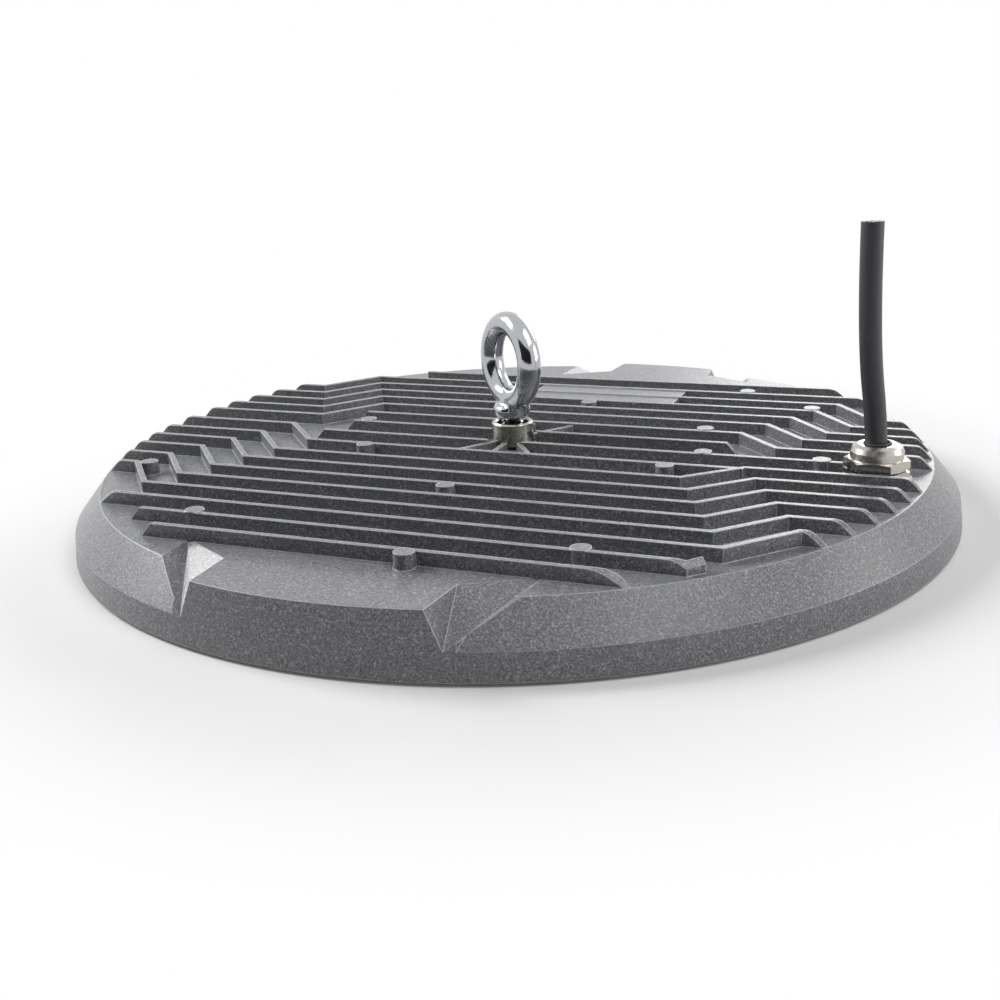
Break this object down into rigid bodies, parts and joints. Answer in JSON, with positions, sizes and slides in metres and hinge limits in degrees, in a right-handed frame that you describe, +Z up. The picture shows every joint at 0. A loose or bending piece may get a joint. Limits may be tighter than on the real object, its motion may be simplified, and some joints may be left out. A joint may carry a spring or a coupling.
{
  "type": "high bay light",
  "caption": "Round flat high bay light with zigzag cooling fins on a cast disc, hung from an eye bolt, with a gland and supply cord.",
  "frame": {"origin": "centre of the plane that the housing's rim stands on, on the axis of the disc and the eye bolt", "axes": "+Z up along the eye bolt, away from the lens; +X along the fins from the hub towards the cable gland"},
  "size_m": [0.33, 0.33, 0.1073],
  "materials": {
    "housing_coat": "sanded grey powder coat on die-cast aluminium",
    "bright_steel": "bright plated forged steel",
    "plated_steel": "zinc-plated steel",
    "nickel_plate": "satin nickel plate",
    "seal_rubber": "black rubber",
    "cord_rubber": "matte black rubber sheath",
    "black_plastic": "black moulding",
    "white_plastic": "white moulding",
    "brown_wire": "brown insulation",
    "green_wire": "green insulation",
    "blue_wire": "blue insulation",
    "board_metal": "aluminium-core board with white mask",
    "thermal_sheet": "grey silicone sheet",
    "led_resin": "yellow phosphor resin",
    "varistor_coat": "blue epoxy",
    "fuse_ceramic": "cream ceramic",
    "lens_plastic": "frosted polycarbonate",
    "frame_aluminium": "grey powder coat on aluminium",
    "silicone": "translucent silicone"
  },
  "bodies": {
    "root": {"heat_sink_housing": "housing_coat", "eye_bolt": "bright_steel", "eye_bolt_socket": "plated_steel", "socket_seal": "seal_rubber", "hub_washer": "plated_steel", "hub_nut": "plated_steel", "gland_body": "nickel_plate", "gland_dome_nut": "nickel_plate", "gland_insert": "seal_rubber", "gland_clamp_ring": "black_plastic", "gland_seal": "seal_rubber", "gland_lock_nut": "nickel_plate", "supply_cord": "cord_rubber", "live_wire": "brown_wire", "earth_wire": "green_wire", "neutral_wire": "blue_wire", "led_board": "board_metal", "thermal_pad": "thermal_sheet", "leds": "led_resin", "board_screws": "plated_steel", "terminal_block": "white_plastic", "driver_cover": "white_plastic", "bridge_rectifier": "black_plastic", "driver_chips": "black_plastic", "surge_varistor": "varistor_coat", "fuse": "fuse_ceramic", "input_capacitor": "black_plastic", "lens": "lens_plastic", "lens_frame": "frame_aluminium", "lens_gasket": "silicone", "lens_screws": "plated_steel"}
  },
  "joints": []
}
